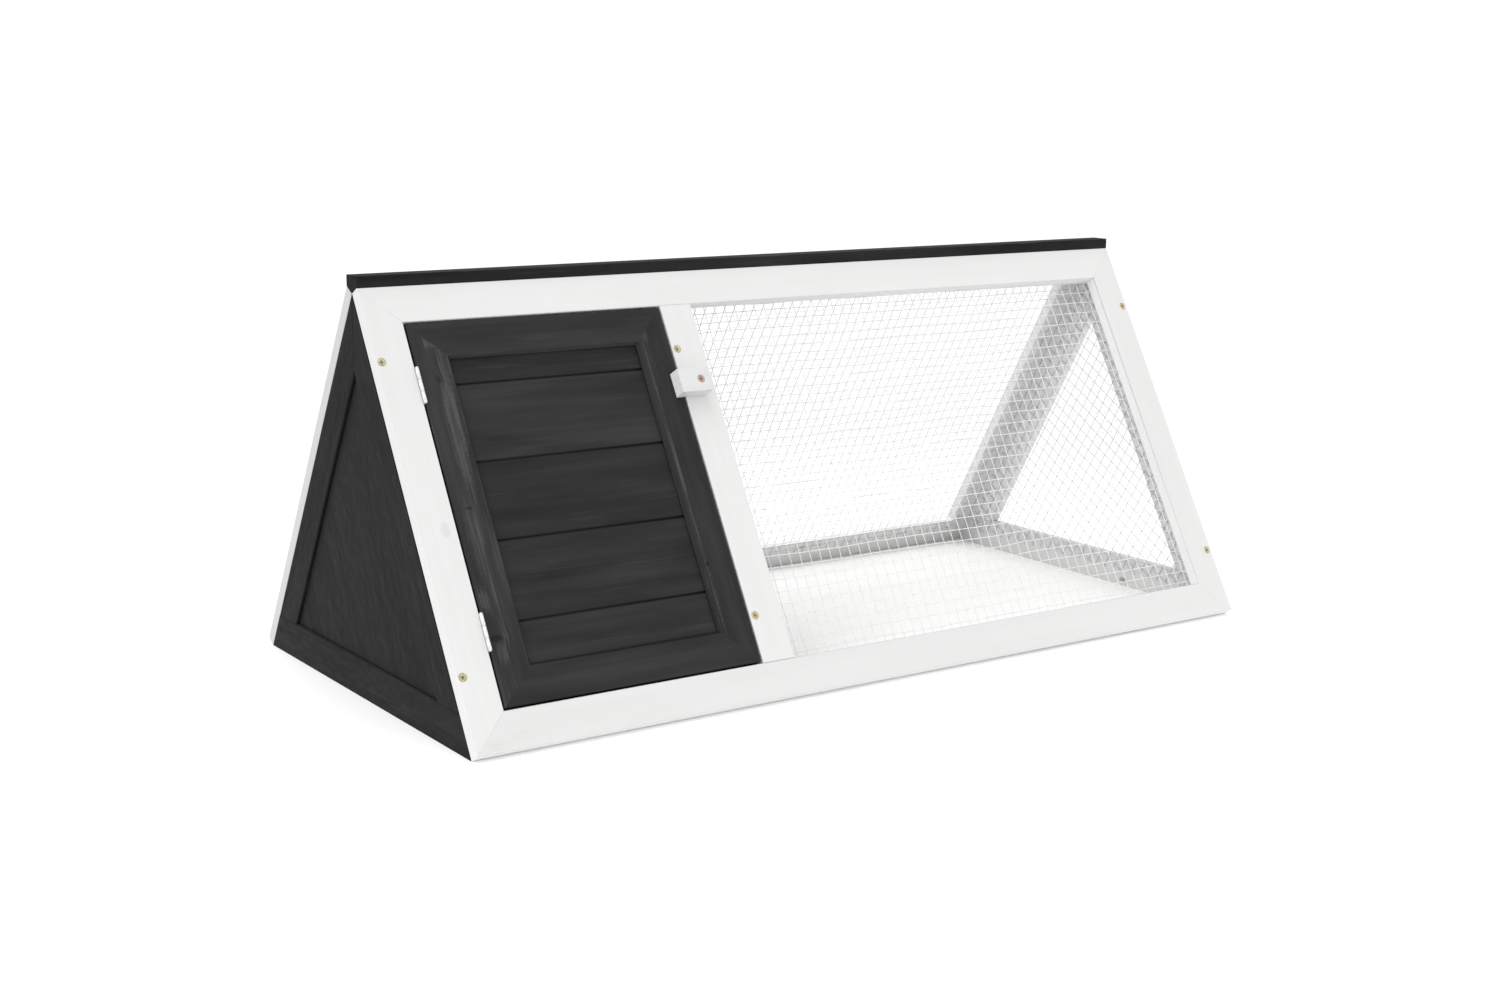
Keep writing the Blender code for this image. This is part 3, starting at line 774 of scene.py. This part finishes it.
def leaf_shape(side, steps=26):
    """A leaf's edge on, in (across, out): the plate's four corners, and its top rolled round the pin."""
    x0, x1 = LEAF_SIDES[side]
    sign = -1 if side == "frame" else 1
    near, far = (x1, x0) if sign < 0 else (x0, x1)
    inner = KNUCKLE_R - CURL_T
    start, sweep = -90 + sign * 12, sign * 325
    outer_arc, inner_arc = [], []
    for i in range(steps + 1):
        angle = math.radians(start + sweep * i / steps)
        outer_arc.append((KNUCKLE_R * math.cos(angle), KNUCKLE_R * math.sin(angle)))
        inner_arc.append((inner * math.cos(angle), inner * math.sin(angle)))
    top = -KNUCKLE_R - HINGE_GAP
    plate = [(near, top), (near, -LEAF_REACH), (far, -LEAF_REACH), (far, top)]
    return plate, outer_arc + inner_arc[::-1]


def leaf_bmesh(side, stations, curled):
    """A leaf built between stations along the pin; the named stretches between them are curled."""
    plate, curl = leaf_shape(side)
    bm = bmesh.new()
    plates = [[bm.verts.new((x, y, at)) for x, y in plate] for at in stations]
    for a, b in zip(plates, plates[1:]):
        for i in range(3):
            bm.faces.new((a[i], a[i + 1], b[i + 1], b[i]))
    bm.faces.new(plates[0])
    bm.faces.new(plates[-1])
    for k, (a, b) in enumerate(zip(plates, plates[1:])):
        if k not in curled:
            bm.faces.new((a[3], a[0], b[0], b[3]))
            continue
        rolls = []
        for ends, at in ((a, stations[k]), (b, stations[k + 1])):
            rolls.append([ends[3]] + [bm.verts.new((x, y, at)) for x, y in curl] + [ends[0]])
            bm.faces.new(rolls[-1])
        for i in range(len(rolls[0]) - 1):
            bm.faces.new((rolls[0][i], rolls[0][i + 1], rolls[1][i + 1], rolls[1][i]))
    return bm


def add_leaf(place, side, curled, matrix, body):
    """One leaf of a butt hinge, with its rolled knuckles and its two screws."""
    node = f"{place}_hinge_{side}_leaf"
    low, high = span(f"{place}_hinge_pin", FRONT_UP)
    x0, x1 = LEAF_SIDES[side]
    third = (high - low) / 3
    inside = -HINGE_GAP if side == "frame" else HINGE_GAP
    stations = [low, low + third + inside, high - third - inside, high]
    bm = leaf_bmesh(side, stations, curled)
    # from (across, out, along) to (across, along, out)
    swap = Matrix(((1, 0, 0, 0), (0, 0, 1, 0), (0, 1, 0, 0), (0, 0, 0, 1)))
    bmesh.ops.transform(bm, matrix=swap, verts=bm.verts)
    obj = from_bmesh("pressed_" + node, bm, [bright_zinc])

    face_x, out_x = (x1, 1) if side == "frame" else (x0, -1)
    middle_z = -(KNUCKLE_R + HINGE_GAP + LEAF_REACH) / 2
    cutters = []
    seats = []
    for share in LEAF_SCREWS:
        middle = Vector((face_x, low + (high - low) * share, middle_z))
        seat = axes_matrix(Vector((0, out_x, 0)), Z, Vector((out_x, 0, 0)), middle)
        bm = turned([(0, 0.001), (LEAF_SCREW_R, 0.001), (LEAF_SCREW_R, -0.001), (0, -0.001)])
        bmesh.ops.transform(bm, matrix=seat, verts=bm.verts)
        cutters.append(from_bmesh(f"{node}_seat_{share}", bm))
        seats.append(seat)
    combine(obj, cutters, "DIFFERENCE")
    for face in obj.data.polygons:
        face.use_smooth = abs(face.normal.y) < 0.5 and face.area < 6e-6
    obj.data.transform(matrix)
    add_piece(obj, body, "zinc", node)
    for i, seat in enumerate(seats):
        mesh = leaf_screw.copy()
        mesh.materials.append(bright_zinc)
        mesh.transform(matrix @ seat @ Matrix.Rotation(rng.uniform(0, math.tau), 4, "Z"))
        add_piece(link(f"{node}_screw_{i + 1}", mesh), body, "zinc")


def add_pin(place, matrix):
    node = f"{place}_hinge_pin"
    low, high = span(node, FRONT_UP)
    dome = [(PIN_R * math.sin(a), PIN_R * 0.55 * math.cos(a)) for a in (0, 0.4, 0.8, 1.2, math.pi / 2)]
    profile = [(r, high + z) for r, z in dome] + [(r, low - z) for r, z in reversed(dome)]
    bm = turned(profile, 28)
    bmesh.ops.transform(bm, matrix=Matrix.Rotation(math.radians(-90), 4, "X"), verts=bm.verts)
    obj = from_bmesh("domed_" + node, bm, [bright_zinc])
    obj.data.transform(matrix)
    for face in obj.data.polygons:
        face.use_smooth = True
    add_piece(obj, nodes[node]["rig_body"], "zinc", node)


hinge_frame = hinge_matrix()
for place in ("lower", "upper"):
    add_leaf(place, "frame", (0, 2), hinge_frame, nodes[f"{place}_hinge_frame_leaf"]["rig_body"])
    add_leaf(place, "door", (1,), hinge_frame, nodes[f"{place}_hinge_door_leaf"]["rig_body"])
    add_pin(place, hinge_frame)


# ---------------------------------------------------------------- wire mesh and staples

def sheet_outline(node, u, v, inward):
    """The outline of a thin CAD sheet, as (u, v) points in order round it."""
    low, high = span(node, inward)
    flat = {
        (round(p.co.dot(u), 6), round(p.co.dot(v), 6)) for p in nodes[node].data.vertices
        if p.co.dot(inward) < (low + high) / 2
    }
    middle = [sum(p[i] for p in flat) / len(flat) for i in range(2)]
    return sorted(flat, key=lambda p: math.atan2(p[1] - middle[1], p[0] - middle[0]))


def crossing(outline, axis, place):
    """Where a straight line in direction axis, at a place across it, enters and leaves an outline."""
    hits = []
    for p, q in zip(outline, outline[1:] + outline[:1]):
        a, b = p[1 - axis] - place, q[1 - axis] - place
        if (a < 0) != (b < 0):
            hits.append(p[axis] + (q[axis] - p[axis]) * a / (a - b))
    return (min(hits), max(hits)) if len(hits) == 2 else None


def edge_distance(outline, point):
    best = 1.0
    for p, q in zip(outline, outline[1:] + outline[:1]):
        run = Vector((q[0] - p[0], q[1] - p[1])).normalized()
        best = min(best, abs(run.x * (point[1] - p[1]) - run.y * (point[0] - p[0])))
    return best


def add_wires(name, node, u, v, inward, lap, phase, metal_finish):
    """A welded square mesh: two layers of wires that share one gentle waviness."""
    outline = sheet_outline(node, u, v, inward)
    surface = span(node, inward)[0] - SHEET_GAP
    verts, faces = [], []

    def sway(point):
        free = min(1.0, max(0.0, (edge_distance(outline, point) - lap) / SWAY_MARGIN))
        free = free * free * (3 - 2 * free)
        du = dv = dn = 0.0
        for (fineness, aside, outward), seed in zip((BROAD_SWAY, CLOSE_SWAY), phase):
            wave = noise.noise_vector(Vector((point[0] * fineness, point[1] * fineness, seed * 100)))
            du += wave.x * aside
            dv += wave.y * aside
            dn += wave.z * outward * free
        return du, dv, dn

    def add_wire(axis, place, start, end, depth):
        first = math.ceil((start - phase[axis]) / PITCH)
        last = math.floor((end - phase[axis]) / PITCH)
        stops = [(start, 1.0)]
        for k in range(first, last + 1):
            at = phase[axis] + k * PITCH
            for shift, grow in ((-WELD, 1.0), (0.0, WELD_GROW), (WELD, 1.0)):
                if start < at + shift < end:
                    stops.append((at + shift, grow))
        stops.append((end, 1.0))
        base = len(verts)
        for at, grow in stops:
            point = (at, place) if axis == 0 else (place, at)
            du, dv, dn = sway(point)
            middle = u * (point[0] + du) + v * (point[1] + dv) + inward * (surface + depth + dn)
            side = v if axis == 0 else u
            for i in range(WIRE_SIDES):
                angle = math.tau * i / WIRE_SIDES
                verts.append(middle + (side * math.cos(angle) + inward * math.sin(angle)) * WIRE_R * grow)
        for ring in range(len(stops) - 1):
            a, b = base + ring * WIRE_SIDES, base + (ring + 1) * WIRE_SIDES
            for i in range(WIRE_SIDES):
                j = (i + 1) % WIRE_SIDES
                faces.append((a + i, a + j, b + j, b + i))
        faces.append(tuple(base + i for i in reversed(range(WIRE_SIDES))))
        faces.append(tuple(len(verts) - WIRE_SIDES + i for i in range(WIRE_SIDES)))

    for axis in (0, 1):
        places = [p[1 - axis] for p in outline]
        k = math.ceil((min(places) + 0.001 - phase[1 - axis]) / PITCH)
        while phase[1 - axis] + k * PITCH < max(places) - 0.001:
            place = phase[1 - axis] + k * PITCH
            ends = crossing(outline, axis, place)
            if ends and ends[1] - ends[0] > SHORT_WIRE:
                start = ends[0] + rng.uniform(0, RAGGED)
                end = ends[1] - rng.uniform(0, RAGGED)
                depth = WIRE_R + 0.00005 + (LAYER if axis == 1 else 0.0)
                add_wire(axis, place, start, end, depth)
            k += 1
    mesh = bpy.data.meshes.new(name)
    mesh.from_pydata(verts, [], faces)
    mesh.materials.append(metal_finish)
    obj = link(name, mesh)
    bm = bmesh.new()
    bm.from_mesh(mesh)
    bmesh.ops.recalc_face_normals(bm, faces=bm.faces)
    bm.to_mesh(mesh)
    bm.free()
    for face in mesh.polygons:
        face.use_smooth = len(face.vertices) == 4
    add_piece(obj, nodes[node]["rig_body"], "wire", node)


def add_staples(name, node, u, v, inward, inset):
    """Staples over the mesh, along every side of its sheet."""
    outline = sheet_outline(node, u, v, inward)
    surface = span(node, inward)[0] - SHEET_GAP
    top = WIRE_R * 2 + LAYER + STAPLE_STAND
    half, inner, under = STAPLE_CROWN / 2, STAPLE_CROWN / 2 - STAPLE_WIRE, top - STAPLE_WIRE
    bend, shoulder = half - STAPLE_ROUND, top - STAPLE_ROUND
    shape = [
        (-half, -STAPLE_FOOT), (-half, shoulder), (-bend, top), (bend, top), (half, shoulder),
        (half, -STAPLE_FOOT), (inner, -STAPLE_FOOT), (inner, under), (-inner, under), (-inner, -STAPLE_FOOT),
    ]
    made = bmesh.new()
    middle = Vector((sum(p[0] for p in outline), sum(p[1] for p in outline))) / len(outline)
    for p, q in zip(outline, outline[1:] + outline[:1]):
        p, q = Vector(p), Vector(q)
        run = (q - p).normalized()
        into = Vector((-run.y, run.x))
        if into.dot(middle - p) < 0:
            into = -into
        length = (q - p).length - 2 * STAPLE_CORNER
        count = max(2, round(length / STAPLE_PITCH))
        for i in range(count + 1):
            at = p + run * (STAPLE_CORNER + length * i / count + rng.uniform(-0.006, 0.006))
            at += into * (inset + rng.uniform(-0.0015, 0.0015))
            turn = math.atan2(run.y, run.x) + rng.uniform(-0.45, 0.45)
            staple = prism(shape, -STAPLE_WIRE, STAPLE_WIRE)
            direction = u * math.cos(turn) + v * math.sin(turn)
            matrix = axes_matrix(
                direction, inward, direction.cross(inward), u * at.x + v * at.y + inward * surface
            )
            bmesh.ops.transform(staple, matrix=matrix, verts=staple.verts)
            part = bpy.data.meshes.new("staple")
            staple.to_mesh(part)
            staple.free()
            made.from_mesh(part)
            bpy.data.meshes.remove(part)
    obj = from_bmesh(name, made, [staple_steel])
    bevel = obj.modifiers.new("rounded", "BEVEL")
    bevel.width = 0.00018
    bevel.segments = 2
    bevel.angle_limit = SHARP
    apply_modifiers(obj)
    add_piece(obj, nodes[node]["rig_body"], "zinc")


# Name, node, across, up, inward, lap onto the timber, first wires, distance of the staples from the edge
SHEETS = (
    ("front", "run_front_mesh", X, FRONT_UP, -FRONT_OUT, 0.018, (0.0031, 0.0052), 0.009),
    ("back", "run_back_mesh", X, BACK_UP, -BACK_OUT, 0.018, (0.0068, 0.0021), 0.009),
    ("end", "run_end_mesh", BACK_UP, BACK_OUT, -X, 0.034, (0.0044, 0.0087), 0.012),
)
for name, node, u, v, inward, lap, phase, inset in SHEETS:
    add_wires(f"wires_{name}", node, u, v, inward, lap, phase, galvanised_lit_and_shaded[name])
    add_staples(f"staples_{name}", node, u, v, inward, inset)


# ---------------------------------------------------------------- floor, light and camera

def add_stage():
    bm = bmesh.new()
    bmesh.ops.create_grid(bm, x_segments=4, y_segments=4, size=40)
    material, tree, shader = make_tree("studio_floor")
    place = add_node(tree, "ShaderNodeTexCoord").outputs["Object"]
    cloud = stretched_noise(tree, place, (3, 3, 3))
    color = mix_colors(tree, map_range(tree, cloud, 0.3, 0.7), (0.91, 0.91, 0.91), (0.93, 0.93, 0.93))
    away = add_node(tree, "ShaderNodeVectorMath", {0: place}, operation="LENGTH").outputs["Value"]
    far_share = map_range(tree, away, STAGE_NEAR, STAGE_FAR, smooth=True)
    color = mix_colors(tree, far_share, color, (0.73, 0.73, 0.73))
    tree.links.new(color, shader.inputs["Base Color"])
    shader.inputs["Roughness"].default_value = 0.9
    shader.inputs["Specular IOR Level"].default_value = 0.0
    # Painted light: the floor glows a little, which lifts the hutch's shadows on it.
    shader.inputs["Emission Color"].default_value = (1, 1, 1, 1)
    shader.inputs["Emission Strength"].default_value = 0.12
    floor = from_bmesh("studio_floor", bm, [material])
    floor.location.z = -0.0002


def add_sun(name, direction, strength, angle):
    data = bpy.data.lights.new(name, "SUN")
    data.energy = strength
    data.angle = math.radians(angle)
    sun = link(name, data)
    sun.rotation_euler = Vector(direction).to_track_quat("Z", "Y").to_euler()


def add_world():
    """An even white surround, seen as pure white and dimmer as light."""
    world = bpy.data.worlds.new("studio")
    scene.world = world
    world.use_nodes = True
    tree = world.node_tree
    tree.nodes.clear()
    seen = add_node(tree, "ShaderNodeBackground", {"Color": (1, 1, 1, 1), "Strength": 1.02})
    lit = add_node(tree, "ShaderNodeBackground", {"Color": (1, 1, 1, 1), "Strength": 0.92})
    path = add_node(tree, "ShaderNodeLightPath")
    mixed = add_node(
        tree, "ShaderNodeMixShader",
        {0: path.outputs["Is Camera Ray"], 1: lit.outputs[0], 2: seen.outputs[0]},
    )
    output = add_node(tree, "ShaderNodeOutputWorld")
    tree.links.new(mixed.outputs[0], output.inputs[0])


def add_camera():
    data = bpy.data.cameras.new("camera")
    data.lens = 50
    data.sensor_width = 36
    camera = link("camera", data)
    camera.location = (-1.311, -1.850, 0.613)
    camera.rotation_euler = [math.radians(a) for a in (78.392, -0.566, -34.703)]
    scene.camera = camera


add_stage()
add_world()
add_sun("top_light", (-0.20, 0.05, 1.0), 1.12, 40)
add_sun("key_light", (-1.0, -0.4, 0.5), 0.44, 30)
add_camera()
scene.view_settings.view_transform = "Standard"
